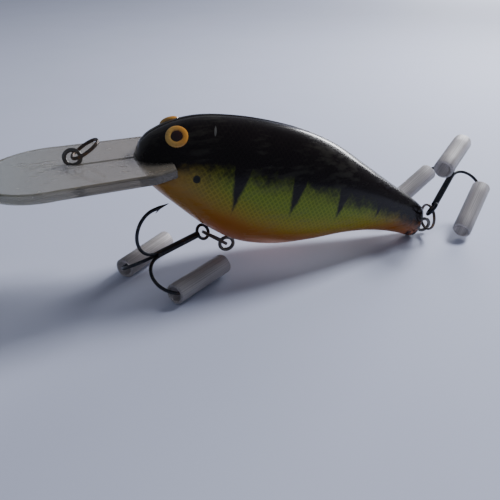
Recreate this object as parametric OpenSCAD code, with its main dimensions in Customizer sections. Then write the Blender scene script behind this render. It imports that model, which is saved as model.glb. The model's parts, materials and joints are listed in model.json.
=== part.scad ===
// Crankbait lure with a long clear diving lip and two treble hooks in soft sleeves.
// +X runs toward the tail, +Y to the lure's right side, +Z up; the origin is the line-tie eye.
// It rests nose up, on the tail and on the sleeved hooks, as it is put down on a table.

/* [Body] */
// Length of the body from nose to tail
body_len = 69; // [60:1:90]
// Depth of the body at its deepest
body_depth = 26; // [22:0.5:32]
// Width of the body at its widest
body_width = 18; // [15:0.5:22]
// Thickness of the shell wall
wall = 1.2; // [0.9:0.1:1.6]
// Nose-up tilt of the body at rest, in degrees
nose_up = 19.4; // [17:0.2:22]

/* [Diving lip] */
// Length of the lip from its front edge to its shoulders
lip_len = 36; // [32:1:46]
// Widest width of the lip
lip_width = 25; // [20:1:32]
// Width of the lip near its shoulders
lip_root_width = 23.4; // [18:0.2:28]
// Thickness of the lip plate
lip_thick = 2; // [1.6:0.1:2.4]
// Angle of the lip below the body's own axis, in degrees
lip_droop = 22.3; // [18:0.1:26]
// Distance of the line-tie eye from the shoulders, along the lip
tie_reach = 18.3; // [15:0.1:24]
// Height of the line-tie eye above the middle of the lip plate
tie_rise = 2.3; // [2.2:0.1:3]

/* [Wire and rings] */
// Diameter of the wire that the three eyes are bent from
eye_wire = 0.8; // [0.7:0.05:0.9]
// Inner diameter of the three wire eyes
eye_bore = 2.2; // [2:0.1:2.6]
// Diameter across a split ring, to the middle of its wire
ring_mean = 5.8; // [5.4:0.1:6.6]
// Width of the two turns of a split ring, along the ring's axis
ring_width = 0.9; // [0.8:0.05:1]
// Thickness of a split ring's wire, along the ring's radius
ring_wire = 0.5; // [0.4:0.05:0.6]

/* [Treble hooks] */
// Diameter of the hook wire
hook_wire = 0.7; // [0.6:0.05:0.9]
// Inner diameter of the eye of a hook
hook_eye = 2.4; // [2.2:0.1:2.8]
// Distance from the eye of the belly hook to the start of its bends
belly_shank = 13.2; // [10:0.2:14]
// Distance from the belly hook's centre line to its points
belly_gape = 10; // [9:0.2:11]
// Distance from the eye of the tail hook to the start of its bends
tail_shank = 13.4; // [11:0.2:15]
// Distance from the tail hook's centre line to its points
tail_gape = 9.2; // [8:0.2:10]
// Length of the straight point side of each hook, tip included
spear = 4; // [3.6:0.2:5]

/* [Hook sleeves] */
// Outer diameter of a soft sleeve
sleeve_od = 4.4; // [3.8:0.1:4.6]
// Inner diameter of a soft sleeve
sleeve_id = 3; // [2.8:0.1:3.2]
// Length of a soft sleeve
sleeve_len = 15; // [12:0.5:18]

/* [Eyes and inner parts] */
// Diameter of the coloured part of an eye
iris_dia = 4.4; // [4:0.1:5.4]
// Diameter of the pupil
pupil_dia = 2.3; // [1.8:0.1:2.8]
// Diameter of a rattle ball
ball_dia = 4; // [3.5:0.1:4.4]
// Diameter of the locating pins between the shell halves
pin_dia = 1.8; // [1.6:0.1:2]
// Length of the ballast slug
ballast_len = 9; // [7:0.5:11]
// Diameter of the ballast slug
ballast_dia = 5; // [4:0.2:5.6]

/* [Hidden] */
$fn = 48;

// Clearance between pieces that seat in each other, per side
fit = 0.05;
// Small overlap that makes joined shapes of one piece share material
weld = 0.02;

// The body's outline: share of the length, then top, bottom and half width as shares of the
// depth, the depth and the width. Heights are measured from the line from nose to tail.
outline = [
    [0.000, 0.110, 0.030, 0.100], [0.008, 0.160, 0.055, 0.200], [0.030, 0.235, 0.110, 0.290],
    [0.075, 0.335, 0.185, 0.370], [0.145, 0.430, 0.275, 0.430], [0.245, 0.498, 0.392, 0.485],
    [0.355, 0.535, 0.468, 0.500], [0.475, 0.540, 0.440, 0.490], [0.590, 0.500, 0.340, 0.450],
    [0.705, 0.410, 0.215, 0.375], [0.820, 0.312, 0.138, 0.280], [0.925, 0.228, 0.119, 0.190],
    [0.985, 0.160, 0.125, 0.130], [1.000, 0.095, 0.105, 0.100]
];
STATIONS = 18;
SIDES = 7;

// Value of column c of the outline at share t of the length, on a smooth curve
function span_of(t, i = 0) = i >= len(outline) - 2 || t <= outline[i + 1][0] ? i : span_of(t, i + 1);
function slope(i, c) =
    let (a = max(0, i - 1), b = min(len(outline) - 1, i + 1))
    (outline[b][c] - outline[a][c]) / (outline[b][0] - outline[a][0]);
function curve(t, c) =
    let (
        i = span_of(t),
        gap = outline[i + 1][0] - outline[i][0],
        u = (t - outline[i][0]) / gap
    )
    outline[i][c] * (2 * u * u * u - 3 * u * u + 1)
    + outline[i + 1][c] * (3 * u * u - 2 * u * u * u)
    + slope(i, c) * gap * (u * u * u - 2 * u * u + u)
    + slope(i + 1, c) * gap * (u * u * u - u * u);

// Stations are closer together at the rounded nose
function station(i) = pow(i / STATIONS, 1.35);
function top_at(x) = curve(x / body_len, 1) * body_depth;
function bottom_at(x) = -curve(x / body_len, 2) * body_depth;
function half_at(x) = curve(x / body_len, 3) * body_width;
// Height of the widest line of a section
function waist_at(x) = bottom_at(x) + 0.45 * (top_at(x) - bottom_at(x));
// Half width of the body at length x and height z, with the flank drawn in by inset
function flank(x, z, inset = 0) =
    let (
        c = waist_at(x),
        reach = (z > c ? top_at(x) - c : c - bottom_at(x)) - inset,
        s = min(1, abs(z - c) / reach)
    )
    (half_at(x) - inset) * pow(1 - s * s, 0.42);

// Points of one half section, from the top of the back round to the keel
function section(x, inset) = [
    for (k = [0 : SIDES])
        let (
            a = 180 * k / SIDES,
            c = waist_at(x),
            reach = (a < 90 ? top_at(x) - c : c - bottom_at(x)) - inset,
            out = (half_at(x) - inset) * pow(abs(sin(a)), 0.84)
        )
        [k == 0 || k == SIDES ? 0 : out, c + reach * cos(a)]
];

// One half of the hollow body. The outer skin and the cavity share the split face at y = 0.
module shell_half(side) {
    ring = SIDES + 1;
    count = STATIONS + 1;
    outer = [
        for (i = [0 : STATIONS]) let (x = station(i) * body_len)
            for (p = section(x, 0)) [x, side * p[0], p[1]]
    ];
    cavity = [
        for (i = [0 : STATIONS])
            let (x = 1.6 * wall + station(i) * (body_len - 3.6 * wall))
                for (p = section(x, wall)) [x, side * p[0], p[1]]
    ];
    n = count * ring;
    skin = [for (i = [0 : STATIONS - 1], k = [0 : SIDES - 1])
        let (a = i * ring + k, b = a + ring) [a, a + 1, b + 1, b]];
    inside = [for (f = skin) [for (j = [3 : -1 : 0]) f[j] + n]];
    split_top = [for (i = [0 : STATIONS - 1])
        let (a = i * ring, b = a + ring) [a, b, b + n, a + n]];
    split_keel = [for (i = [0 : STATIONS - 1])
        let (a = i * ring + SIDES, b = a + ring) [a, a + n, b + n, b]];
    last = n - ring;
    caps = [
        [for (k = [SIDES : -1 : 0]) k], [for (k = [0 : SIDES]) last + k],
        [for (k = [0 : SIDES]) n + k], [for (k = [SIDES : -1 : 0]) n + last + k],
        [0, n, n + SIDES, SIDES], [last, last + SIDES, n + last + SIDES, n + last]
    ];
    faces = concat(skin, inside, split_top, split_keel, caps);
    polyhedron(concat(outer, cavity), [for (f = faces) side > 0 ? f : reverse(f)], convexity = 8);
}
function reverse(f) = [for (j = [len(f) - 1 : -1 : 0]) f[j]];

// A place along and above the lip plate, in the body's own axes
function on_lip(along, above) = lip_at + [
    along * cos(lip_droop) - above * sin(lip_droop), 0,
    along * sin(lip_droop) + above * cos(lip_droop)
];

// Places in the body's own axes, from the tip of the nose
// Middle of the lip plate, where its shoulders meet the head
lip_at = [6.6, 0, 2.05];
lip_tongue_len = 5;
lip_tongue_width = 9;
lip_corner = 4;
nose_pin_reach = lip_tongue_len + 2.6;
line_tie_at = on_lip(-tie_reach, tie_rise);
belly_eye_at = [24.1, 0, bottom_at(24.1) - eye_bore / 2 - 1.15];
tail_eye_at = [body_len + 1.7, 0, 0.1];
// Each wire's inner eye sits on a locating pin of the left shell
nose_pin = on_lip(nose_pin_reach, 0);
belly_pin = [26.4, 0, belly_eye_at[2] + 8.6];
tail_pin = [body_len - 9.5, 0, 1.6];
back_pin = [40, 0, top_at(40) - 4.2];
pins = [nose_pin, belly_pin, tail_pin, back_pin];
ballast_at = [15.6, 0, bottom_at(15.6) + wall + ballast_dia / 2 + 1.9];
ballast_tilt = 27;
cradle_gap = 5.6;
cradle_thick = 1.2;
cradle_reach = 4.2;
cell_wall = 0.8;
cell_gap = 0.2;
rattle_at = [[34.5, 0, -2.5], [43, 0, 0.5]];
eye_at = [5.8, 0, 7.4];
eye_faces_forward = 18;
eye_faces_up = 33;
iris_thick = 1;

// Body axes to the resting stance, with the line-tie eye at the origin
function stance_x(p) = p[0] * cos(nose_up) + p[2] * sin(nose_up);
function stance_z(p) = -p[0] * sin(nose_up) + p[2] * cos(nose_up);
function stance(p) = let (q = p - line_tie_at) [stance_x(q), q[1], stance_z(q)];
module in_stance() {
    rotate([0, nose_up, 0])
        translate(-line_tie_at)
            children();
}

// Unit step at a compass turn and a rise, in degrees
function heading(turn, rise) = [cos(rise) * cos(turn), cos(rise) * sin(turn), sin(rise)];

// How each ring and hook lies at rest
tie_ring_rise = 30;
belly_ring_turn = 160;
belly_ring_rise = 27;
belly_ring_roll = 28;
belly_hook_turn = 215;
tail_ring_lean = 26;
tail_hook_turn = 41;
tail_hook_rise = 19;
tail_hook_roll = 7;
// Turn of each hook's own eye about its shank
belly_eye_turn = 30;
tail_eye_turn = 28;
belly_hook_at = stance(belly_eye_at) + ring_mean * heading(belly_ring_turn, belly_ring_rise);
tail_hook_at = stance(tail_eye_at) + ring_mean * [0, -sin(tail_ring_lean), cos(tail_ring_lean)];

// Torus about Y, with an inner diameter and a wire diameter
module wire_eye(bore, wire) {
    rotate([90, 0, 0])
        rotate_extrude()
            translate([(bore + wire) / 2, 0])
                circle(d = wire);
}

// Round bar from a to b in the plane y = 0
module bar(a, b, dia) {
    step = b - a;
    translate(a)
        rotate([0, atan2(step[0], step[2]), 0])
            cylinder(d = dia, h = norm(step));
}

// Wire with an eye at each end, joined by a straight stem
module double_eye(outer_eye, inner_eye, inner_bore) {
    step = (inner_eye - outer_eye) / norm(inner_eye - outer_eye);
    translate(outer_eye) wire_eye(eye_bore, eye_wire);
    translate(inner_eye) wire_eye(inner_bore, eye_wire);
    bar(
        outer_eye + step * (eye_bore + eye_wire) / 2,
        inner_eye - step * (inner_bore + eye_wire) / 2,
        eye_wire
    );
}

// Room that a double eye needs in the shell wall
module double_eye_room(outer_eye, inner_eye) {
    step = (inner_eye - outer_eye) / norm(inner_eye - outer_eye);
    bar(outer_eye - step, outer_eye + step * 5, eye_wire + 2 * fit);
    translate(outer_eye)
        rotate([90, 0, 0])
            cylinder(d = eye_bore + 2 * eye_wire + 4 * fit, h = eye_wire + 4 * fit, center = true);
}
pin_eye_bore = pin_dia + 4 * fit;

module eye_frame(side) {
    y = flank(eye_at[0], eye_at[2]);
    translate([eye_at[0], side * (y + 0.15), eye_at[2]])
        rotate([side * eye_faces_up, 0, side * eye_faces_forward])
            rotate([-side * 90, 0, 0])
                children();
}

module ballast_frame() {
    translate(ballast_at)
        rotate([0, ballast_tilt, 0])
            children();
}

// Where the lip plate passes through the head, drawn about the lip's own middle
module lip_frame() {
    translate(lip_at)
        rotate([0, -lip_droop, 0])
            children();
}

module shell(side) {
    difference() {
        union() {
            shell_half(side);
            // Cells for the rattle balls, half in each shell
            for (p = rattle_at)
                translate([p[0], side * flank(p[0], p[2], wall / 2), p[2]])
                    rotate([side * 90, 0, 0])
                        cylinder(
                            d = ball_dia + 2 * cell_gap + 2 * cell_wall,
                            h = flank(p[0], p[2], wall / 2)
                        );
            // Ribs that cradle the ballast slug
            ballast_frame()
                for (x = [-cradle_gap / 2, cradle_gap / 2])
                    translate([x - cradle_thick / 2, side < 0 ? -cradle_reach : 0, -ballast_dia / 2 - 1.6])
                        cube([cradle_thick, cradle_reach, ballast_dia / 2 + 1.4]);
            if (side > 0) {
                // Sockets for the locating pins
                for (p = pins)
                    translate([p[0], flank(p[0], p[2], wall / 2), p[2]])
                        rotate([90, 0, 0])
                            cylinder(
                                d = pin_dia + 1.6,
                                h = flank(p[0], p[2], wall / 2) - eye_wire / 2 - fit
                            );
            }
        }
        for (p = rattle_at)
            translate([p[0], side * (flank(p[0], p[2], wall) - 0.4), p[2]])
                rotate([side * 90, 0, 0])
                    cylinder(d = ball_dia + 2 * cell_gap, h = body_width);
        if (side > 0)
            for (p = pins)
                translate([p[0], flank(p[0], p[2], wall) - 0.6, p[2]])
                    rotate([90, 0, 0])
                        cylinder(d = pin_dia + 2 * fit, h = body_width);
        lip_frame()
            translate([-lip_len, -lip_width, -lip_thick / 2 - fit])
                cube([lip_len + fit, 2 * lip_width, lip_thick + 2 * fit]);
        double_eye_room(belly_eye_at, belly_pin);
        double_eye_room(tail_eye_at, tail_pin);
        ballast_frame()
            rotate([0, 90, 0])
                cylinder(d = ballast_dia + 2 * fit, h = ballast_len + 2, center = true);
        eye_frame(side)
            translate([0, 0, -iris_thick - fit])
                cylinder(d = iris_dia + 2 * fit, h = 3 * iris_thick);
    }
    if (side < 0)
        for (p = pins)
            translate([p[0], -flank(p[0], p[2], wall / 2), p[2]])
                rotate([-90, 0, 0])
                    cylinder(d = pin_dia, h = flank(p[0], p[2], wall / 2) + 2.2);
}

module left_shell() {
    color("olivedrab") in_stance() shell(-1);
}

module right_shell() {
    color("darkolivegreen") in_stance() shell(1);
}

// Plan of the lip: a round front that narrows to its shoulders, with a tongue behind them
module lip_plan() {
    r = lip_width / 2;
    centre = r - lip_len;
    root = lip_root_width / 2;
    arc = [for (a = [80 : 5 : 280]) [centre + r * cos(a), r * sin(a)]];
    tongue = lip_tongue_width / 2;
    polygon(concat(
        arc,
        [[-lip_corner, -root], [0, lip_corner / 2.4 - root], [0, -tongue], [lip_tongue_len, -tongue]],
        [[lip_tongue_len, tongue], [0, tongue], [0, root - lip_corner / 2.4], [-lip_corner, root]]
    ));
}

module diving_lip() {
    color("gainsboro", 0.5) in_stance() lip_frame()
        difference() {
            union() {
                translate([0, 0, -lip_thick / 2])
                    linear_extrude(lip_thick)
                        lip_plan();
                // Stiffening ribs on the underside
                for (y = [-1, 1])
                    translate([-20, y * 7.5 - 0.6, -lip_thick / 2 - 0.6])
                        cube([15, 1.2, 0.6 + weld]);
            }
            translate([-tie_reach, 0, 0])
                rotate([0, 90, 0])
                    cylinder(d = eye_wire + 2 * fit, h = tie_reach + lip_tongue_len + 1);
            translate([-tie_reach, 0, 0])
                cylinder(d = eye_wire + 2 * fit, h = lip_thick);
            translate([-tie_reach, 0, 0])
                sphere(d = eye_wire + 2 * fit);
            translate([-tie_reach, 0, tie_rise])
                rotate([90, 0, 0])
                    cylinder(
                        d = eye_bore + 2 * eye_wire + 4 * fit,
                        h = eye_wire + 4 * fit,
                        center = true
                    );
        }
}

// Eye above the lip, a leg down into the plate and a stem back to the first pin
module line_tie_wire() {
    elbow = [-tie_reach, 0, 0];
    inner = [nose_pin_reach, 0, 0];
    color("dimgray") in_stance() lip_frame() {
        translate([-tie_reach, 0, tie_rise]) wire_eye(eye_bore, eye_wire);
        bar([-tie_reach, 0, tie_rise - (eye_bore + eye_wire) / 2], elbow, eye_wire);
        translate(elbow) sphere(d = eye_wire);
        bar(elbow, [nose_pin_reach - (pin_eye_bore + eye_wire) / 2, 0, 0], eye_wire);
        translate(inner) wire_eye(pin_eye_bore, eye_wire);
    }
}

module belly_hanger() {
    color("dimgray") in_stance() double_eye(belly_eye_at, belly_pin, pin_eye_bore);
}

module tail_hanger() {
    color("dimgray") in_stance() double_eye(tail_eye_at, tail_pin, pin_eye_bore);
}

// Split ring in the plane z = 0, hung from the origin toward +X
module split_ring() {
    translate([ring_mean / 2, 0, 0])
        rotate_extrude()
            translate([ring_mean / 2, 0]) {
                square([ring_wire, ring_width - ring_wire], center = true);
                for (y = [-1, 1])
                    translate([0, y * (ring_width - ring_wire) / 2])
                        circle(d = ring_wire);
            }
}

module line_tie_ring() {
    color("silver") rotate([0, -tie_ring_rise, 0]) split_ring();
}

module belly_ring() {
    color("saddlebrown")
        translate(stance(belly_eye_at))
            rotate([0, -belly_ring_rise, belly_ring_turn])
                rotate([belly_ring_roll, 0, 0])
                    split_ring();
}

module tail_ring() {
    color("saddlebrown")
        translate(stance(tail_eye_at))
            rotate([tail_ring_lean, 0, 0])
                rotate([0, -90, 0])
                    split_ring();
}

// Distance of each hook's wire from the centre of the shank, where the bends start
strand_at = 0.65 * hook_wire;
shank_dia = 2 * strand_at + 0.8 * hook_wire;

// The bend and point of one of a treble's three hooks, with the bend toward +X
module hook(shank, gape) {
    bend = (gape - strand_at) / 2;
    point = 2.4;
    translate([shank, 0, strand_at + bend])
        rotate([90, 0, 0])
            rotate([0, 0, -90])
                rotate_extrude(angle = 180)
                    translate([bend, 0])
                        circle(d = hook_wire);
    bar([shank, 0, gape], [shank - spear + point, 0, gape], hook_wire);
    translate([shank - spear + point, 0, gape])
        rotate([0, -90, 0])
            cylinder(d1 = hook_wire, d2 = 0.1, h = point);
    // Barb on the inner side, pointing back at the bend
    translate([shank - spear + point, 0, gape - hook_wire / 4])
        rotate([0, 120, 0])
            cylinder(d1 = 0.4, d2 = 0.1, h = 1.3);
}

// Three hooks round one shank, with the eye at the origin and turned about the shank
module treble(shank, gape, eye_turn) {
    rotate([eye_turn, 0, 0]) wire_eye(hook_eye, hook_wire);
    bar([(hook_eye + hook_wire) / 2, 0, 0], [shank + hook_wire / 2, 0, 0], shank_dia);
    for (k = [0 : 2])
        rotate([120 * k, 0, 0])
            hook(shank, gape);
}

// Soft tube over the point of hook k of a treble. It tilts outward and swings sideways about
// the start of the bend, as far as its bore lets it, and its mouth lies past that.
sleeve_seat = 3.4;
sleeve_drop = 0.9;
module sleeve(shank, gape, k, tilt, swing) {
    rotate([120 * k, 0, 0])
        translate([shank, 0, gape - sleeve_drop])
            rotate([0, tilt, swing])
                rotate([0, -90, 0])
                    translate([0, 0, -sleeve_seat])
                        difference() {
                            cylinder(d = sleeve_od, h = sleeve_len);
                            translate([0, 0, -1])
                                cylinder(d = sleeve_id, h = sleeve_len + 2);
                        }
}

module at_belly_hook() {
    translate(belly_hook_at)
        rotate([0, 0, belly_hook_turn])
            children();
}

module at_tail_hook() {
    translate(tail_hook_at)
        rotate([0, -tail_hook_rise, tail_hook_turn])
            rotate([tail_hook_roll, 0, 0])
                children();
}

module belly_treble() {
    color("darkslategray") at_belly_hook() treble(belly_shank, belly_gape, belly_eye_turn);
}

module tail_treble() {
    color("slategray") at_tail_hook() treble(tail_shank, tail_gape, tail_eye_turn);
}

module belly_sleeve_near() {
    color("darkgray") at_belly_hook() sleeve(belly_shank, belly_gape, 2, -2, 0);
}

module belly_sleeve_far() {
    color("darkgray") at_belly_hook() sleeve(belly_shank, belly_gape, 1, 9, -5);
}

module tail_sleeve_near() {
    color("darkgray") at_tail_hook() sleeve(tail_shank, tail_gape, 1, 4.5, 6);
}

module tail_sleeve_top() {
    color("darkgray") at_tail_hook() sleeve(tail_shank, tail_gape, 0, 11, 0);
}

module tail_sleeve_far() {
    color("darkgray") at_tail_hook() sleeve(tail_shank, tail_gape, 2, 16, 4);
}

module iris(side) {
    color("gold") in_stance() eye_frame(side)
        difference() {
            translate([0, 0, -iris_thick])
                cylinder(d = iris_dia, h = iris_thick + 0.2);
            translate([0, 0, -iris_thick / 2])
                cylinder(d = pupil_dia + 2 * fit, h = iris_thick);
        }
}

module pupil(side) {
    color("maroon") in_stance() eye_frame(side)
        translate([0, 0, -iris_thick / 2])
            cylinder(d = pupil_dia, h = iris_thick / 2 + 0.35);
}

module left_iris() {
    iris(-1);
}

module left_pupil() {
    pupil(-1);
}

module right_iris() {
    iris(1);
}

module right_pupil() {
    pupil(1);
}

module ballast_slug() {
    color("slategray") in_stance() ballast_frame()
        rotate([0, 90, 0])
            cylinder(d = ballast_dia, h = ballast_len, center = true);
}

module rattle_ball(k) {
    color("silver") in_stance()
        translate(rattle_at[k])
            sphere(d = ball_dia);
}

module rattle_ball_front() {
    rattle_ball(0);
}

module rattle_ball_rear() {
    rattle_ball(1);
}

left_shell();
right_shell();
diving_lip();
line_tie_wire();
belly_hanger();
tail_hanger();
line_tie_ring();
belly_ring();
tail_ring();
belly_treble();
tail_treble();
belly_sleeve_near();
belly_sleeve_far();
tail_sleeve_near();
tail_sleeve_top();
tail_sleeve_far();
left_iris();
left_pupil();
right_iris();
right_pupil();
ballast_slug();
rattle_ball_front();
rattle_ball_rear();
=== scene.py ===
# %% [markdown]
# # A crankbait lure with a long clear lip
# This lesson dresses a finished CAD model of a fishing lure. The hooks, wire eyes and inner
# parts come from the CAD frame and only get better finishes. The body skin, the lip, the
# eyes, the split rings and the soft sleeves are built again with finer shapes, in the
# places the frame gives.

# %% Load the frame
import json
import math
import bmesh
import bpy
import numpy as np
from mathutils import Matrix, Vector


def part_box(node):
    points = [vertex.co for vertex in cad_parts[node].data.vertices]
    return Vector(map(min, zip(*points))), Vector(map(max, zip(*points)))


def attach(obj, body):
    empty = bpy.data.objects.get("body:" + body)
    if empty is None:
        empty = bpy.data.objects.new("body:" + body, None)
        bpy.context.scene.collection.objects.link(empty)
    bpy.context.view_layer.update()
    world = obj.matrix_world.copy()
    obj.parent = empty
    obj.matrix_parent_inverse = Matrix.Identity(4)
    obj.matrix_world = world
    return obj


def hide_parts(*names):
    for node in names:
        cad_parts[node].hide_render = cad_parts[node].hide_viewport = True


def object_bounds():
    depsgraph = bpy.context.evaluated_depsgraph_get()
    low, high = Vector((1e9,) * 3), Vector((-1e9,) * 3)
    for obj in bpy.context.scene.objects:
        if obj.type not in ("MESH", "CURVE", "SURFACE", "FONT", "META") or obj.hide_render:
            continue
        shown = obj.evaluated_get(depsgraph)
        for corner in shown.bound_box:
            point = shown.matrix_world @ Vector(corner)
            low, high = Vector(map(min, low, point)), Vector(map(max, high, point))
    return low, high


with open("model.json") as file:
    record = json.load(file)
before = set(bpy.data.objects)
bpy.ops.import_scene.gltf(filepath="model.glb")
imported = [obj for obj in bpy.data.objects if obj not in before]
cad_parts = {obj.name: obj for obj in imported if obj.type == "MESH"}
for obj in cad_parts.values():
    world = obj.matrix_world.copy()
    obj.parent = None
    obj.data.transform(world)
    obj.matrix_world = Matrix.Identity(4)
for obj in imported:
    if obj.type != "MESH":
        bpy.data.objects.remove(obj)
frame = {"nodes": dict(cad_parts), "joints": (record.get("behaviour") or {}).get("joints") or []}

cad_lo, cad_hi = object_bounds()
joints = {j["name"]: j for j in frame["joints"]}
mm = 0.001
print("CAD box in mm:", [round(v / mm, 1) for v in (*cad_lo, *cad_hi)])

# %% [markdown]
# The lure lies nose up, because its tail and its sleeved hooks carry it. Everything painted
# on the body follows the body's own axes, so one matrix turns a place measured from the
# nose into a place in the scene. A material does the same with a Mapping node.

# %% The body's own axes
nose_up = math.radians(19.4)
line_tie = Vector((-11.2041, 0, -2.76607)) * mm
to_scene = Matrix.Rotation(nose_up, 4, "Y") @ Matrix.Translation(-line_tie)
tail_tip = to_scene @ Vector((69 * mm, 0, 0))
print("tail end at", [round(v / mm, 1) for v in tail_tip])

# %% [markdown]
# The camera stands where a person at the table would hold it: near the lip, looking down
# at the lure by about 29 degrees and a little along it.

# %% Camera
cam_data = bpy.data.cameras.new("table_camera")
cam_data.sensor_width = 36
cam_data.lens = 40.97
cam_data.clip_start = 0.005
camera = bpy.data.objects.new("table_camera", cam_data)
bpy.context.scene.collection.objects.link(camera)
turn, down = math.radians(15.3), math.radians(29.3)
flat = math.cos(down)
aim = Vector((math.sin(turn) * flat, math.cos(turn) * flat, -math.sin(down)))
camera.location = Vector((5.4, -107.6, 37.4)) * mm
camera.rotation_euler = aim.to_track_quat("-Z", "Y").to_euler()
bpy.context.scene.camera = camera
print("camera looks along", [round(v, 3) for v in aim])

# %% [markdown]
# A material is a small network. These helpers add one node each, so that a finish reads
# like a sum: arithmetic on single values, soft steps, and mixing two colours by a mask.

# %% Node helpers
def put(tree, socket, value):
    if isinstance(value, bpy.types.NodeSocket):
        tree.links.new(value, socket)
    else:
        socket.default_value = value


def calc(tree, op, *args):
    node = tree.nodes.new("ShaderNodeMath")
    node.operation = op
    for i, a in enumerate(args):
        put(tree, node.inputs[i], a)
    return node.outputs[0]


def step_up(tree, value, low, high):
    node = tree.nodes.new("ShaderNodeMapRange")
    node.interpolation_type = "SMOOTHSTEP"
    put(tree, node.inputs["Value"], value)
    put(tree, node.inputs["From Min"], low)
    put(tree, node.inputs["From Max"], high)
    return node.outputs["Result"]


def mix(tree, mask, first, second):
    node = tree.nodes.new("ShaderNodeMix")
    node.data_type = "RGBA"
    put(tree, node.inputs[0], mask)
    put(tree, node.inputs[6], first if not isinstance(first, tuple) else (*first, 1))
    put(tree, node.inputs[7], second if not isinstance(second, tuple) else (*second, 1))
    return node.outputs[2]


def noise(tree, place, scale, detail=3.0, rough=0.55):
    node = tree.nodes.new("ShaderNodeTexNoise")
    put(tree, node.inputs["Vector"], place)
    node.inputs["Scale"].default_value = scale
    node.inputs["Detail"].default_value = detail
    node.inputs["Roughness"].default_value = rough
    return node.outputs["Fac"]


def new_finish(name):
    mat = bpy.data.materials.new(name)
    mat.use_nodes = True
    tree = mat.node_tree
    shader = tree.nodes["Principled BSDF"]
    place = tree.nodes.new("ShaderNodeTexCoord").outputs["Object"]
    return mat, tree, shader, place


def bump(tree, shader, height, strength, distance):
    node = tree.nodes.new("ShaderNodeBump")
    node.inputs["Strength"].default_value = strength
    node.inputs["Distance"].default_value = distance
    put(tree, node.inputs["Height"], height)
    tree.links.new(node.outputs["Normal"], shader.inputs["Normal"])

# %% [markdown]
# Handling leaves fine scuffs on every part of a used lure. They are the same effect on
# paint, plastic and steel, so they are one node group, placed in each finish with its own
# grain size. The group puts out a mask of worn spots and a height for the bump.

# %% Shared scuff group
def make_scuffs():
    group = bpy.data.node_groups.new("handling_scuffs", "ShaderNodeTree")
    face = group.interface
    face.new_socket("Place", in_out="INPUT", socket_type="NodeSocketVector")
    face.new_socket("Grain", in_out="INPUT", socket_type="NodeSocketFloat")
    face.new_socket("Amount", in_out="INPUT", socket_type="NodeSocketFloat")
    face.new_socket("Worn", in_out="OUTPUT", socket_type="NodeSocketFloat")
    face.new_socket("Height", in_out="OUTPUT", socket_type="NodeSocketFloat")
    start = group.nodes.new("NodeGroupInput")
    end = group.nodes.new("NodeGroupOutput")
    coarse = group.nodes.new("ShaderNodeTexNoise")
    fine = group.nodes.new("ShaderNodeTexNoise")
    stretch = group.nodes.new("ShaderNodeMapping")
    stretch.inputs["Scale"].default_value = (0.35, 1.6, 1.6)
    group.links.new(start.outputs["Place"], coarse.inputs["Vector"])
    group.links.new(start.outputs["Place"], stretch.inputs["Vector"])
    group.links.new(stretch.outputs["Vector"], fine.inputs["Vector"])
    group.links.new(start.outputs["Grain"], coarse.inputs["Scale"])
    group.links.new(calc(group, "MULTIPLY", start.outputs["Grain"], 5.0), fine.inputs["Scale"])
    both = calc(group, "MULTIPLY", coarse.outputs["Fac"], fine.outputs["Fac"])
    worn = calc(group, "MULTIPLY", step_up(group, both, 0.26, 0.42), start.outputs["Amount"])
    group.links.new(worn, end.inputs["Worn"])
    group.links.new(both, end.inputs["Height"])
    return group


scuff_group = make_scuffs()


def scuffs(tree, place, grain, amount):
    node = tree.nodes.new("ShaderNodeGroup")
    node.node_tree = scuff_group
    put(tree, node.inputs["Place"], place)
    node.inputs["Grain"].default_value = grain
    node.inputs["Amount"].default_value = amount
    return node.outputs["Worn"], node.outputs["Height"]


group_outputs = [s.name for s in scuff_group.interface.items_tree if s.in_out == "OUTPUT"]
print("group:", scuff_group.name, "outputs:", group_outputs)

# %% [markdown]
# ## The painted skin
# The real body is two moulded halves, airbrushed in soft layers: orange on the belly, then
# yellow and green on the flanks, a black back, and black bars that reach down like teeth.
# A net held over the body while spraying leaves the fine crossed scale lines. Each layer
# is a mask made from the place on the body, in millimetres from the nose.

# %% Paint finish
SCALE_PITCH = 1.05


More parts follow.
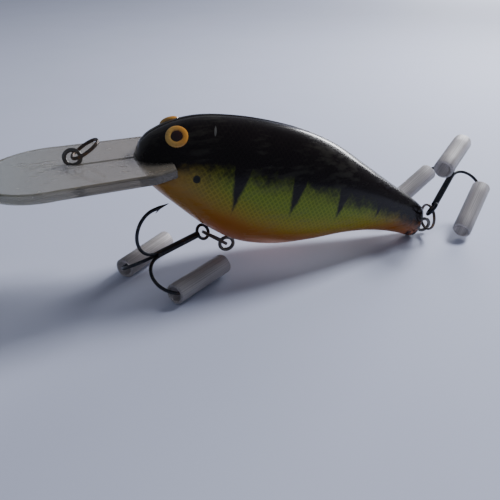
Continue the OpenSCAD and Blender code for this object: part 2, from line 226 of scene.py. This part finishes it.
def paint_finish():
    mat, tree, shader, place = new_finish("airbrushed_perch_paint")
    own = tree.nodes.new("ShaderNodeMapping")
    own.inputs["Location"].default_value = line_tie
    own.inputs["Rotation"].default_value = (0, -nose_up, 0)
    put(tree, own.inputs["Vector"], place)
    split = tree.nodes.new("ShaderNodeSeparateXYZ")
    put(tree, split.inputs[0], own.outputs["Vector"])
    x = calc(tree, "DIVIDE", split.outputs["X"], mm)
    z = calc(tree, "DIVIDE", split.outputs["Z"], mm)
    soft = calc(tree, "SUBTRACT", noise(tree, place, 260, 4), 0.5)
    ragged = calc(tree, "SUBTRACT", noise(tree, place, 900, 2), 0.5)
    wobble = calc(tree, "MULTIPLY_ADD", soft, 4.0, calc(tree, "MULTIPLY", ragged, 3.2))
    # Height where the black back ends: highest mid body, and dropping over the nose
    away = calc(tree, "SUBTRACT", x, 32)
    crown = calc(tree, "MULTIPLY_ADD", calc(tree, "MULTIPLY", away, away), -0.0036, 5.6)
    nose = calc(tree, "SUBTRACT", 1, step_up(tree, x, 2, 9.5))
    nose_drop = calc(tree, "MULTIPLY", nose, 3.3)
    edge = calc(tree, "SUBTRACT", crown, nose_drop)
    above = calc(tree, "ADD", calc(tree, "SUBTRACT", z, edge), wobble)
    black = step_up(tree, above, -4.2, 0.8)
    # Four bars, each a wedge from its lower tip: how far it opens ahead and behind per mm
    for tip_x, tip_z, ahead, behind in (
        (19.5, -3.7, 0.27, 0.19), (31.7, -1.8, 0.28, 0.21),
        (42.7, -0.7, 0.29, 0.27), (53.1, 0.6, 0.3, 0.34),
    ):
        rise = calc(tree, "SUBTRACT", z, tip_z)
        from_tip = calc(tree, "SUBTRACT", x, tip_x)
        along = calc(tree, "ADD", from_tip, calc(tree, "MULTIPLY", soft, 0.9))
        front = calc(tree, "MULTIPLY_ADD", rise, ahead, along)
        back = calc(tree, "SUBTRACT", calc(tree, "MULTIPLY", rise, behind), along)
        bar = step_up(tree, calc(tree, "MINIMUM", front, back), -0.35, 0.5)
        black = calc(tree, "MAXIMUM", black, bar)
    # The tail end is dabbed dark by hand
    past = calc(tree, "SUBTRACT", x, 65.6)
    dabs = calc(tree, "ADD", calc(tree, "MULTIPLY", past, 0.5), wobble)
    black = calc(tree, "MAXIMUM", black, step_up(tree, dabs, 0.2, 1.2))
    # Layers from the belly up. The rose at the very bottom is partly the belly's paint and partly
    # painted glow of light bounced up from the paper
    level = calc(tree, "ADD", z, calc(tree, "MULTIPLY", soft, 1.6))
    keel = calc(tree, "MULTIPLY_ADD", calc(tree, "MULTIPLY", away, away), 0.0085, -8.2)
    over_keel = calc(tree, "SUBTRACT", level, keel)
    rose_paint_and_glow, orange = (0.50, 0.17, 0.075), (0.30, 0.10, 0.010)
    yellow, green, amber = (0.30, 0.20, 0.008), (0.17, 0.235, 0.010), (0.30, 0.165, 0.03)
    colour = mix(tree, step_up(tree, over_keel, -4.5, 0.2), rose_paint_and_glow, orange)
    colour = mix(tree, step_up(tree, over_keel, 0.2, 4.8), colour, yellow)
    colour = mix(tree, step_up(tree, over_keel, 3.2, 8.5), colour, green)
    # The lowest strip of the belly from 24 mm back is painted bright peach: painted glow of light
    # bounced up from the paper under the belly
    keel_glow_strip = calc(tree, "SUBTRACT", 1, step_up(tree, z, -9.6, -7.8))
    painted_keel_glow = calc(tree, "MULTIPLY", step_up(tree, x, 24, 34), keel_glow_strip)
    head = calc(tree, "SUBTRACT", 1, step_up(tree, x, 9, 20))
    colour = mix(tree, calc(tree, "MULTIPLY", head, 0.72), colour, amber)
    # Scale net: two sets of slanted lines, a little paler than the cells between them
    net = None
    for lean in (0.95, -0.75):
        drift = calc(tree, "ADD", x, calc(tree, "MULTIPLY", soft, 0.7))
        run = calc(tree, "MULTIPLY_ADD", z, lean, drift)
        wave = calc(tree, "SINE", calc(tree, "MULTIPLY", run, 2 * math.pi / SCALE_PITCH))
        line = step_up(tree, wave, 0.25, 0.95)
        net = line if net is None else calc(tree, "MAXIMUM", net, line)
    flank = calc(tree, "MULTIPLY", step_up(tree, over_keel, 0.5, 5), step_up(tree, x, 5, 14))
    lines = calc(tree, "MULTIPLY", calc(tree, "MULTIPLY", net, flank), 0.22)
    colour = mix(tree, lines, colour, (0.36, 0.38, 0.04))
    cell_depth = calc(tree, "MULTIPLY", flank, 0.38)
    cells = calc(tree, "MULTIPLY", calc(tree, "SUBTRACT", 1, net), cell_depth)
    colour = mix(tree, cells, colour, (0.05, 0.09, 0.004))
    # Painted bounce glow along the keel strip
    colour = mix(tree, calc(tree, "MULTIPLY", painted_keel_glow, 0.7), colour, (0.95, 0.50, 0.33))
    worn, height = scuffs(tree, place, 120, 0.5)
    ink = mix(tree, noise(tree, place, 260, 4), (0.0025, 0.0015, 0.002), (0.010, 0.006, 0.007))
    ink = mix(tree, calc(tree, "MULTIPLY", net, 0.35), ink, (0.012, 0.010, 0.008))
    colour = mix(tree, black, colour, ink)
    # Cheek spot, and a small chip on the shoulder
    ragged_edge = calc(tree, "MULTIPLY", ragged, 0.6)

    def spot(at_x, at_z, wide, tall):
        dx = calc(tree, "DIVIDE", calc(tree, "SUBTRACT", x, at_x), wide)
        dz = calc(tree, "DIVIDE", calc(tree, "SUBTRACT", z, at_z), tall)
        far = calc(tree, "ADD", calc(tree, "MULTIPLY", dx, dx), calc(tree, "MULTIPLY", dz, dz))
        outside = step_up(tree, calc(tree, "ADD", far, ragged_edge), 0.6, 1.2)
        return calc(tree, "SUBTRACT", 1, outside)

    colour = mix(tree, spot(11.0, 1.1, 0.75, 0.85), colour, (0.008, 0.008, 0.006))
    chip = calc(tree, "MULTIPLY", spot(12.6, 10.2, 0.22, 0.8), 0.45)
    colour = mix(tree, chip, colour, (0.20, 0.20, 0.19))
    colour = mix(tree, calc(tree, "MULTIPLY", worn, 0.25), colour, (0.12, 0.12, 0.09))
    put(tree, shader.inputs["Base Color"], colour)
    put(tree, shader.inputs["Roughness"], calc(tree, "MULTIPLY_ADD", worn, 0.35, 0.27))
    shader.inputs["Specular IOR Level"].default_value = 0.12
    shader.inputs["Coat Weight"].default_value = 0.22
    shader.inputs["Coat Roughness"].default_value = 0.1
    relief = calc(tree, "MULTIPLY_ADD", net, 0.25, height)
    bump(tree, shader, relief, 0.25, 0.00006)
    return mat


paint = paint_finish()
print("paint nodes:", len(paint.node_tree.nodes))

# %% [markdown]
# The skin is lofted from one outline: for each share of the length, how far the body
# reaches up, down and out. A smooth curve through those values gives any number of rings,
# so the render is round where the CAD shell is faceted. Each half is an open sheet, and a
# Solidify modifier gives it the moulded wall.

# %% Skin of the two halves
OUTLINE = (
    (0.000, 0.110, 0.030, 0.100), (0.008, 0.160, 0.055, 0.200), (0.030, 0.235, 0.110, 0.290),
    (0.075, 0.335, 0.185, 0.370), (0.145, 0.430, 0.275, 0.430), (0.245, 0.498, 0.392, 0.485),
    (0.355, 0.535, 0.468, 0.500), (0.475, 0.540, 0.440, 0.490), (0.590, 0.500, 0.340, 0.450),
    (0.705, 0.410, 0.215, 0.375), (0.820, 0.312, 0.138, 0.280), (0.925, 0.228, 0.119, 0.190),
    (0.985, 0.160, 0.125, 0.130), (1.000, 0.095, 0.105, 0.100),
)
BODY_LEN, BODY_DEPTH, BODY_WIDTH = 69 * mm, 26 * mm, 18 * mm


def outline_at(share, column):
    i = 0
    while i < len(OUTLINE) - 2 and share > OUTLINE[i + 1][0]:
        i += 1

    def slope(k):
        a, b = max(0, k - 1), min(len(OUTLINE) - 1, k + 1)
        return (OUTLINE[b][column] - OUTLINE[a][column]) / (OUTLINE[b][0] - OUTLINE[a][0])

    gap = OUTLINE[i + 1][0] - OUTLINE[i][0]
    u = (share - OUTLINE[i][0]) / gap
    return (
        OUTLINE[i][column] * (2 * u**3 - 3 * u**2 + 1)
        + OUTLINE[i + 1][column] * (3 * u**2 - 2 * u**3)
        + slope(i) * gap * (u**3 - 2 * u**2 + u) + slope(i + 1) * gap * (u**3 - u**2)
    )


def half_ring(share, shrink, side, sides=40):
    top = outline_at(share, 1) * BODY_DEPTH
    low = -outline_at(share, 2) * BODY_DEPTH
    half = outline_at(share, 3) * BODY_WIDTH
    waist = low + 0.45 * (top - low)
    ring = []
    for k in range(sides + 1):
        a = math.pi * k / sides
        reach = (top - waist) if a < math.pi / 2 else (waist - low)
        out = 0 if k in (0, sides) else half * abs(math.sin(a)) ** 0.84
        ring.append((side * out * shrink, waist + reach * math.cos(a) * shrink))
    return ring


def skin_half(name, side):
    stations = [(0.0, 0.35), (0.0004, 0.7), (0.002, 0.9), (0.005, 0.97)]
    stations += [((i / 110) ** 1.35, 1.0) for i in range(5, 110)]
    stations += [(0.9925, 0.985), (0.997, 0.93), (0.9995, 0.8), (1.0, 0.5)]
    bm = bmesh.new()
    rings = []
    for share, shrink in stations:
        ring = half_ring(share, shrink, side)
        rings.append([bm.verts.new(to_scene @ Vector((share * BODY_LEN, y, z))) for y, z in ring])
    for a, b in zip(rings, rings[1:]):
        for k in range(len(a) - 1):
            bm.faces.new((a[k], a[k + 1], b[k + 1], b[k]))
    for end in (rings[0], rings[-1]):
        bm.faces.new(end)
    bmesh.ops.recalc_face_normals(bm, faces=bm.faces)
    mid = max(bm.faces, key=lambda f: abs(f.calc_center_median().y))
    if mid.normal.y * side < 0:
        bmesh.ops.reverse_faces(bm, faces=bm.faces)
    return finish_mesh(name, bm, paint)


def finish_mesh(name, bm, mat, smooth=True):
    mesh = bpy.data.meshes.new(name)
    bm.to_mesh(mesh)
    bm.free()
    mesh.materials.append(mat)
    if smooth:
        mesh.polygons.foreach_set("use_smooth", [True] * len(mesh.polygons))
    obj = bpy.data.objects.new(name, mesh)
    bpy.context.scene.collection.objects.link(obj)
    return obj


for node, side in (("left_shell", -1), ("right_shell", 1)):
    skin = skin_half(node + "_skin", side)
    wall = skin.modifiers.new("moulded_wall", "SOLIDIFY")
    wall.thickness = 1.1 * mm
    wall.offset = -1
    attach(skin, "lure")
    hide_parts(node)
    print(skin.name, len(skin.data.polygons), "faces")

# %% [markdown]
# ## The clear lip
# The lip is one moulded plate. Its long round front makes the lure dive, and its root
# passes through a slot under the nose. The plastic is a little smoky, and it is coloured
# warmer and darker toward the root: painted shade and reflection of the body there. Such a
# plate shows by its edges, so it gets a small rounded bevel all round, and a few scuffs that
# catch the light.

# %% Clear plastic finish
def lip_finish():
    mat, tree, shader, place = new_finish("clear_moulded_plastic")
    worn, height = scuffs(tree, place, 140, 1.0)
    haze = noise(tree, place, 60, 2)
    split = tree.nodes.new("ShaderNodeSeparateXYZ")
    put(tree, split.inputs[0], place)
    # The root end is painted warmer and darker: painted shade and reflection of the body
    painted_root_shade = step_up(tree, split.outputs["X"], -0.03, 0.012)
    tip_tone = mix(tree, haze, (0.50, 0.54, 0.50), (0.62, 0.65, 0.60))
    put(tree, shader.inputs["Base Color"], mix(tree, painted_root_shade, tip_tone, (0.50, 0.45, 0.38)))
    frosting = calc(tree, "MULTIPLY", haze, 0.16)
    put(tree, shader.inputs["Roughness"], calc(tree, "MULTIPLY_ADD", worn, 0.25, frosting))
    shader.inputs["Transmission Weight"].default_value = 0.78
    shader.inputs["IOR"].default_value = 1.45
    bump(tree, shader, height, 0.2, 0.00008)
    return mat


clear_plastic = lip_finish()

# %% Lip blade
LIP_LEN, LIP_HALF_THICK, LIP_DROOP = 36.0, 1.0, 22.3
lip_root = Matrix.Translation(Vector((6.6, 0, 2.05)) * mm)
lip_frame = to_scene @ lip_root @ Matrix.Rotation(-math.radians(LIP_DROOP), 4, "Y")


def lip_blade():
    lo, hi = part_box("diving_lip")
    r = (hi.y - lo.y) / 2 / mm
    root, corner = 0.936 * r, 4.0
    centre = r - LIP_LEN
    round_front = [math.radians(a) for a in range(80, 281, 4)]
    plan = [(centre + r * math.cos(a), r * math.sin(a)) for a in round_front]
    plan += [(-corner, -root), (0, corner / 2.4 - root), (0, root - corner / 2.4), (-corner, root)]
    bm = bmesh.new()
    low = [bm.verts.new((x * mm, y * mm, -LIP_HALF_THICK * mm)) for x, y in plan]
    high = [bm.verts.new((x * mm, y * mm, LIP_HALF_THICK * mm)) for x, y in plan]
    n = len(plan)
    bm.faces.new(high)
    bm.faces.new(low[::-1])
    for i in range(n):
        bm.faces.new((low[i], low[(i + 1) % n], high[(i + 1) % n], high[i]))
    bmesh.ops.recalc_face_normals(bm, faces=bm.faces)
    rims = [e for e in bm.edges if abs(e.verts[0].co.z - e.verts[1].co.z) < 1e-6]
    edge_round = 0.45 * mm
    bmesh.ops.bevel(bm, geom=rims, offset=edge_round, segments=3, profile=0.5, affect="EDGES")
    bmesh.ops.transform(bm, matrix=lip_frame, verts=bm.verts)
    bmesh.ops.recalc_face_normals(bm, faces=bm.faces)
    return finish_mesh("lip_blade", bm, clear_plastic, smooth=False)


blade = lip_blade()
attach(blade, "lure")
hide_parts("diving_lip")
print("lip lowest corner in mm:", [round(v / mm, 1) for v in blade.bound_box[0]])

# %% [markdown]
# ## Wire, hooks and rings
# Hooks are plated black nickel, the wire eyes are stainless steel, and the rings have gone
# brown. Inside the body are a grey ballast slug and two rattle balls. All are bare metal, so
# one builder makes the five finishes from a plating colour and the colour that shows
# through where it is worn.

# %% Metal finishes
def metal_finish(name, plating, worn_colour, rough, wear):
    mat, tree, shader, place = new_finish(name)
    worn, height = scuffs(tree, place, 420, wear)
    tint = noise(tree, place, 180, 3)
    colour = mix(tree, calc(tree, "MULTIPLY", tint, 0.5), plating, tuple(c * 0.55 for c in plating))
    put(tree, shader.inputs["Base Color"], mix(tree, worn, colour, worn_colour))
    put(tree, shader.inputs["Roughness"], calc(tree, "MULTIPLY_ADD", tint, 0.25, rough))
    shader.inputs["Metallic"].default_value = 1.0
    bump(tree, shader, height, 0.3, 0.00003)
    return mat


hook_metal = metal_finish(
    "black_nickel_hook_wire", (0.045, 0.05, 0.06), (0.16, 0.13, 0.11), 0.25, 0.6
)
eye_metal = metal_finish(
    "stainless_eye_wire", (0.17, 0.165, 0.16), (0.30, 0.24, 0.18), 0.28, 0.5
)
ring_metal = metal_finish(
    "browned_ring_wire", (0.13, 0.11, 0.10), (0.22, 0.13, 0.07), 0.3, 0.9
)
slug_metal = metal_finish(
    "grey_ballast", (0.35, 0.35, 0.36), (0.5, 0.5, 0.5), 0.5, 0.4
)
ball_metal = metal_finish(
    "polished_rattle_ball", (0.6, 0.6, 0.62), (0.4, 0.4, 0.4), 0.12, 0.2
)


def dress(mat, *names):
    for name in names:
        mesh = frame["nodes"][name].data
        mesh.materials.clear()
        mesh.materials.append(mat)
    print(mat.name, "on", ", ".join(names))


dress(hook_metal, "belly_treble", "tail_treble")
dress(eye_metal, "line_tie_wire", "belly_hanger", "tail_hanger")
dress(slug_metal, "ballast_slug")
dress(ball_metal, "rattle_ball_front", "rattle_ball_rear")

# %% [markdown]
# A split ring is two turns of wire wound like a key ring. The rule is a short spiral with a
# round wire swept along it, so Geometry Nodes make all three rings from the same tree. Its
# sizes are named inputs, and the result is turned into a plain mesh for each body.

# %% Split ring tree
def ring_tree():
    tree = bpy.data.node_groups.new("split_ring_coil", "GeometryNodeTree")
    face = tree.interface
    face.new_socket("Geometry", in_out="INPUT", socket_type="NodeSocketGeometry")
    sizes = (("Coil Radius", 0.0029), ("Wire Radius", 0.00024), ("Pitch", 0.00043), ("Turns", 1.98))
    for name, value in sizes:
        socket = face.new_socket(name, in_out="INPUT", socket_type="NodeSocketFloat")
        socket.default_value = value
    face.new_socket("Finish", in_out="INPUT", socket_type="NodeSocketMaterial")
    face.new_socket("Geometry", in_out="OUTPUT", socket_type="NodeSocketGeometry")
    start = tree.nodes.new("NodeGroupInput")
    end = tree.nodes.new("NodeGroupOutput")
    coil = tree.nodes.new("GeometryNodeCurveSpiral")
    coil.inputs["Resolution"].default_value = 48
    tree.links.new(start.outputs["Turns"], coil.inputs["Rotations"])
    tree.links.new(start.outputs["Coil Radius"], coil.inputs["Start Radius"])
    tree.links.new(start.outputs["Coil Radius"], coil.inputs["End Radius"])
    height = calc(tree, "MULTIPLY", start.outputs["Turns"], start.outputs["Pitch"])
    lift = tree.nodes.new("ShaderNodeMath")
    lift.operation = "DIVIDE"
    lift.inputs[1].default_value = 2.0
    tree.links.new(height, lift.inputs[0])
    tree.links.new(lift.outputs[0], coil.inputs["Height"])
    wire = tree.nodes.new("GeometryNodeCurvePrimitiveCircle")
    wire.inputs["Resolution"].default_value = 12
    tree.links.new(start.outputs["Wire Radius"], wire.inputs["Radius"])
    sweep = tree.nodes.new("GeometryNodeCurveToMesh")
    sweep.inputs["Fill Caps"].default_value = True
    tree.links.new(coil.outputs["Curve"], sweep.inputs["Curve"])
    tree.links.new(wire.outputs["Curve"], sweep.inputs["Profile Curve"])
    real = tree.nodes.new("GeometryNodeRealizeInstances")
    dye = tree.nodes.new("GeometryNodeSetMaterial")
    tree.links.new(sweep.outputs["Mesh"], real.inputs["Geometry"])
    tree.links.new(real.outputs["Geometry"], dye.inputs["Geometry"])
    tree.links.new(start.outputs["Finish"], dye.inputs["Material"])
    tree.links.new(dye.outputs["Geometry"], end.inputs["Geometry"])
    return tree


coil_tree = ring_tree()
coil_inputs = {s.name: s.identifier for s in coil_tree.interface.items_tree if s.in_out == "INPUT"}
print("ring tree inputs:", sorted(coil_inputs))

# %% Wind the three rings
def wind_ring(name, node, body, centre, across, toward):
    blank = bpy.data.objects.new(name + "_blank", bpy.data.meshes.new(name + "_blank"))
    bpy.context.scene.collection.objects.link(blank)
    winder = blank.modifiers.new("coil", "NODES")
    winder.node_group = coil_tree
    winder[coil_inputs["Finish"]] = ring_metal
    bpy.context.view_layer.update()
    wound_blank = blank.evaluated_get(bpy.context.evaluated_depsgraph_get())
    wound = bpy.data.meshes.new_from_object(wound_blank)
    bpy.data.objects.remove(blank)
    coil = np.array([v.co for v in wound.vertices])
    mid = Vector((0, 0, (coil[:, 2].min() + coil[:, 2].max()) / 2))
    x = toward.normalized()
    z = across.normalized()
    y = z.cross(x)
    turn_to = Matrix((x, y, z)).transposed().to_4x4()
    wire_ends = Matrix.Rotation(2.2, 4, "Z")
    wound.transform(Matrix.Translation(centre) @ turn_to @ wire_ends @ Matrix.Translation(-mid))
    wound.name = name
    wound.materials.clear()
    wound.materials.append(ring_metal)
    wound.polygons.foreach_set("use_smooth", [True] * len(wound.polygons))
    ring = bpy.data.objects.new(name, wound)
    bpy.context.scene.collection.objects.link(ring)
    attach(ring, body)
    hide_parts(node)
    print(name, "at", [round(v / mm, 1) for v in centre])


def mid_of(node):
    lo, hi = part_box(node)
    return (lo + hi) / 2


for name, node, body, pivot, swing in (
    ("line_tie_coil", "line_tie_ring", "tie_ring", "line_tie_ring_swing", None),
    ("belly_coil", "belly_ring", "front_ring", "belly_ring_swing", "belly_hook_swing"),
    ("tail_coil", "tail_ring", "rear_ring", "tail_ring_swing", "tail_hook_swing"),
):
    eye = Vector(joints[pivot]["pos_m"])
    along = Vector((0, 1, 0)) if swing is None else Vector(joints[swing]["axis"])
    centre = mid_of(node)
    wind_ring(name, node, body, centre, (centre - eye).cross(along), centre - eye)

# %% [markdown]
# ## Soft sleeves
# Each sleeve is a short length of smoky vinyl tube pushed over a hook point, so that it
# can't catch. It is cut from a long extruded tube, so fine lines run along it and its rims
# are a little uneven. The tube is turned from a rounded wall profile about the axis that
# the sleeve's own joint slides on.

# %% Vinyl finish
def vinyl_finish():
    mat, tree, shader, place = new_finish("smoky_vinyl")
    lines = tree.nodes.new("ShaderNodeUVMap").outputs["UV"]
    comb = tree.nodes.new("ShaderNodeMapping")
    comb.inputs["Scale"].default_value = (1.0, 38.0, 1.0)
    put(tree, comb.inputs["Vector"], lines)
    streak = noise(tree, comb.outputs["Vector"], 1.4, 4)
    worn, height = scuffs(tree, place, 150, 0.6)
    colour = mix(tree, step_up(tree, streak, 0.3, 0.7), (0.40, 0.375, 0.385), (0.74, 0.71, 0.71))
    chalky = calc(tree, "MULTIPLY", worn, 0.5)
    put(tree, shader.inputs["Base Color"], mix(tree, chalky, colour, (0.42, 0.41, 0.40)))
    put(tree, shader.inputs["Roughness"], calc(tree, "MULTIPLY_ADD", streak, 0.3, 0.3))
    shader.inputs["Transmission Weight"].default_value = 0.5
    shader.inputs["IOR"].default_value = 1.4
    bump(tree, shader, calc(tree, "ADD", streak, height), 0.35, 0.0001)
    return mat


vinyl = vinyl_finish()

# %% Sleeve tubes
def sleeve_tube(node, body, axis, seed):
    centre = mid_of(node)
    along = Vector(axis).normalized()
    side = along.orthogonal().normalized()
    third = along.cross(side)
    half, out, bore, lip = 7.5 * mm, 2.18 * mm, 1.5 * mm, 0.22 * mm
    rim, shoulder = lip * 0.6, (half - 0.06 * mm, out - 0.09 * mm)
    profile = [(-half + lip, out), (-half * 0.5, out), (0, out), (half * 0.5, out)]
    profile += [(half - lip, out)]
    profile += [shoulder, (half, out - lip), (half, bore + rim), (half - rim, bore), (0, bore)]
    profile += [(-half + rim, bore), (-half, bore + rim), (-half, out - lip)]
    profile += [(-shoulder[0], shoulder[1])]
    sides, mid_wall = 64, 1.7 * mm
    bm = bmesh.new()
    uv = bm.loops.layers.uv.new("UVMap")
    rng = np.random.default_rng(seed)
    waves = rng.uniform(0, 2 * math.pi, 3)
    loops = []
    for k in range(sides):
        a = 2 * math.pi * k / sides
        uneven = 0.025 * mm * (math.sin(2 * a + waves[0]) + math.sin(5 * a + waves[1]))
        loop = []
        for t, r in profile:
            end = abs(t) / half
            reach = r - 0.05 * mm + uneven if r > mid_wall else r
            t_cut = t - math.copysign(1, t) * 0.12 * mm * end**8 * (1 + math.sin(a + waves[2]))
            outward = side * math.cos(a) + third * math.sin(a)
            loop.append(bm.verts.new(centre + along * t_cut + outward * reach))
        loops.append(loop)
    n = len(profile)
    for k in range(sides):
        a, b = loops[k], loops[(k + 1) % sides]
        for i in range(n):
            j = (i + 1) % n
            face = bm.faces.new((a[i], a[j], b[j], b[i]))
            spots = ((i, k), (i + 1, k), (i + 1, k + 1), (i, k + 1))
            for corner, (u, v) in zip(face.loops, spots):
                corner[uv].uv = (u / n, v / sides)
    bmesh.ops.recalc_face_normals(bm, faces=bm.faces)
    tube = finish_mesh(node + "_tube", bm, vinyl)
    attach(tube, body)
    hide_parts(node)
    return tube


sleeves = {
    "belly_sleeve_near": "front_sleeve_near", "belly_sleeve_far": "front_sleeve_far",
    "tail_sleeve_near": "rear_sleeve_near", "tail_sleeve_top": "rear_sleeve_top",
    "tail_sleeve_far": "rear_sleeve_far",
}
for seed, (node, body) in enumerate(sleeves.items()):
    tube = sleeve_tube(node, body, joints[node + "_slide"]["axis"], seed)
    print(tube.name, len(tube.data.polygons), "faces")

# %% [markdown]
# ## The eyes
# A lure's eye is a printed foil dome under clear resin: a dark pupil in a yellow-orange
# iris. The iris is coloured paler yellow at the front and deeper orange toward the rear,
# which is painted shading across the dome. Domes catch one bright point of light, which a
# flat disc can't, so iris and pupil are shallow caps turned about an axis near the skin's
# own normal.

# %% Eye finishes
def iris_finish():
    mat, tree, shader, place = new_finish("iris_foil")
    warm = noise(tree, place, 300, 2)
    worn, height = scuffs(tree, place, 500, 0.4)
    split = tree.nodes.new("ShaderNodeSeparateXYZ")
    put(tree, split.inputs[0], place)
    x = calc(tree, "DIVIDE", split.outputs["X"], mm)
    sweep_x = calc(tree, "ADD", x, calc(tree, "MULTIPLY", warm, 1.2))
    lo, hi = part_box("left_iris")
    # Paler at the front, deeper orange at the rear: painted shading across the dome
    painted_dome_shading = step_up(tree, sweep_x, lo.x / mm, hi.x / mm)
    colour = mix(tree, painted_dome_shading, (0.66, 0.42, 0.10), (0.60, 0.25, 0.025))
    put(tree, shader.inputs["Base Color"], mix(tree, worn, colour, (0.35, 0.2, 0.05)))
    put(tree, shader.inputs["Roughness"], calc(tree, "MULTIPLY_ADD", warm, 0.2, 0.2))
    shader.inputs["Coat Weight"].default_value = 0.8
    bump(tree, shader, height, 0.15, 0.00003)
    return mat


def pupil_finish():
    mat, tree, shader, place = new_finish("pupil_lacquer")
    tint = noise(tree, place, 400, 2)
    colour = mix(tree, tint, (0.010, 0.001, 0.001), (0.03, 0.002, 0.001))
    put(tree, shader.inputs["Base Color"], colour)
    put(tree, shader.inputs["Roughness"], calc(tree, "MULTIPLY_ADD", tint, 0.2, 0.12))
    shader.inputs["Coat Weight"].default_value = 0.3
    return mat


iris_foil, pupil_lacquer = iris_finish(), pupil_finish()

# %% Domed eyes
def eye_axis(side, up, forward):
    about_x = Matrix.Rotation(side * math.radians(up), 4, "X")
    about_z = Matrix.Rotation(side * math.radians(forward), 4, "Z")
    face = Matrix.Rotation(-side * math.radians(90), 4, "X")
    return (to_scene.to_3x3() @ (about_z @ about_x @ face).to_3x3()) @ Vector((0, 0, 1))


def dome(name, centre, axis, profile, mat, sides=56):
    side = axis.orthogonal().normalized()
    third = axis.cross(side)
    bm = bmesh.new()
    rows = []
    for r, h in profile:
        if r == 0:
            rows.append([bm.verts.new(centre + axis * h * mm)])
        else:
            turns = [2 * math.pi * k / sides for k in range(sides)]
            around = [side * math.cos(a) + third * math.sin(a) for a in turns]
            rows.append([bm.verts.new(centre + (axis * h + out * r) * mm) for out in around])
    for a, b in zip(rows, rows[1:]):
        for k in range(sides):
            corners = [a[k % len(a)], a[(k + 1) % len(a)], b[(k + 1) % len(b)], b[k % len(b)]]
            bm.faces.new(list(dict.fromkeys(corners)))
    bmesh.ops.recalc_face_normals(bm, faces=bm.faces)
    return finish_mesh(name, bm, mat)


# Degrees up and forward: the CAD disc's own, and a little nearer the skin's slope
CAD_EYE_SEAT, EYE_SEAT = (33, 18), (36, 26)
PUPIL_OUT = 0.425 * mm
# Radius and height in mm, from the middle of the back to the middle of the face
IRIS_PROFILE = (
    (0, -0.4), (2.18, -0.4), (2.18, 0.38), (2.1, 0.5), (1.75, 0.6),
    (1.3, 0.66), (1.12, 0.62), (1.12, 0.3), (0, 0.3),
)
PUPIL_PROFILE = ((0, 0.32), (1.1, 0.32), (1.1, 0.6), (1.0, 0.68), (0.6, 0.74), (0, 0.76))
for side, hand in ((-1, "left"), (1, "right")):
    axis = eye_axis(side, *EYE_SEAT)
    back = mid_of(hand + "_pupil") - eye_axis(side, *CAD_EYE_SEAT) * PUPIL_OUT
    iris = dome(hand + "_eye_iris", back, axis, IRIS_PROFILE, iris_foil)
    pupil = dome(hand + "_eye_pupil", back, axis, PUPIL_PROFILE, pupil_lacquer)
    for piece, node, slot in ((iris, "_iris", "iris_foil"), (pupil, "_pupil", "pupil_lacquer")):
        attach(piece, "lure")
        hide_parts(hand + node)
    print(hand, "eye at", [round(v / mm, 1) for v in back])

# %% [markdown]
# ## Table and light
# The lure lies on plain pale paper. Daylight comes from the right and a little behind, so
# the near side is in shade and the shadow falls to the viewer's left. The thin bright line
# along the back is the reflection of a low window, so that window is a lamp of its own,
# and the daylight lamp is kept out of reflections.

# %% Paper floor
def paper_finish():
    mat, tree, shader, place = new_finish("pale_paper")
    fibre = noise(tree, place, 30, 5)
    put(tree, shader.inputs["Base Color"], mix(tree, fibre, (0.58, 0.62, 0.79), (0.62, 0.66, 0.83)))
    put(tree, shader.inputs["Roughness"], calc(tree, "MULTIPLY_ADD", fibre, 0.1, 0.7))
    return mat


floor_mesh = bpy.data.meshes.new("paper_floor")
half = 3.0
floor_z = cad_lo.z
corners = [(x * half, y * half, floor_z) for x, y in ((-1, -1), (1, -1), (1, 1), (-1, 1))]
floor_mesh.from_pydata(corners, [], [(0, 1, 2, 3)])
floor_mesh.materials.append(paper_finish())
floor = bpy.data.objects.new("paper_floor", floor_mesh)
bpy.context.scene.collection.objects.link(floor)

# %% Window and daylight
def soft_light(name, place, target, size, power, colour):
    data = bpy.data.lights.new(name, "AREA")
    data.shape = "RECTANGLE"
    data.size, data.size_y = size
    data.energy = power
    data.color = colour
    lamp = bpy.data.objects.new(name, data)
    bpy.context.scene.collection.objects.link(lamp)
    lamp.location = place
    toward = Vector(target) - Vector(place)
    lamp.rotation_euler = toward.to_track_quat("-Z", "Y").to_euler()
    return lamp


middle = (0.04, 0, -0.01)
soft_light("window", (0.70, 0.62, 0.19), middle, (0.46, 0.13), 5.0, (0.96, 0.97, 1.0))
day = soft_light("daylight", (0.33, 0.12, 0.27), middle, (0.12, 0.12), 2.1, (0.96, 0.97, 1.0))
day.visible_glossy = False
world = bpy.data.worlds.new("room_air")
world.use_nodes = True
world.node_tree.nodes["Background"].inputs["Color"].default_value = (0.80, 0.85, 1.0, 1)
world.node_tree.nodes["Background"].inputs["Strength"].default_value = 0.2
bpy.context.scene.world = world
print("floor at", round(floor_z / mm, 2), "mm")
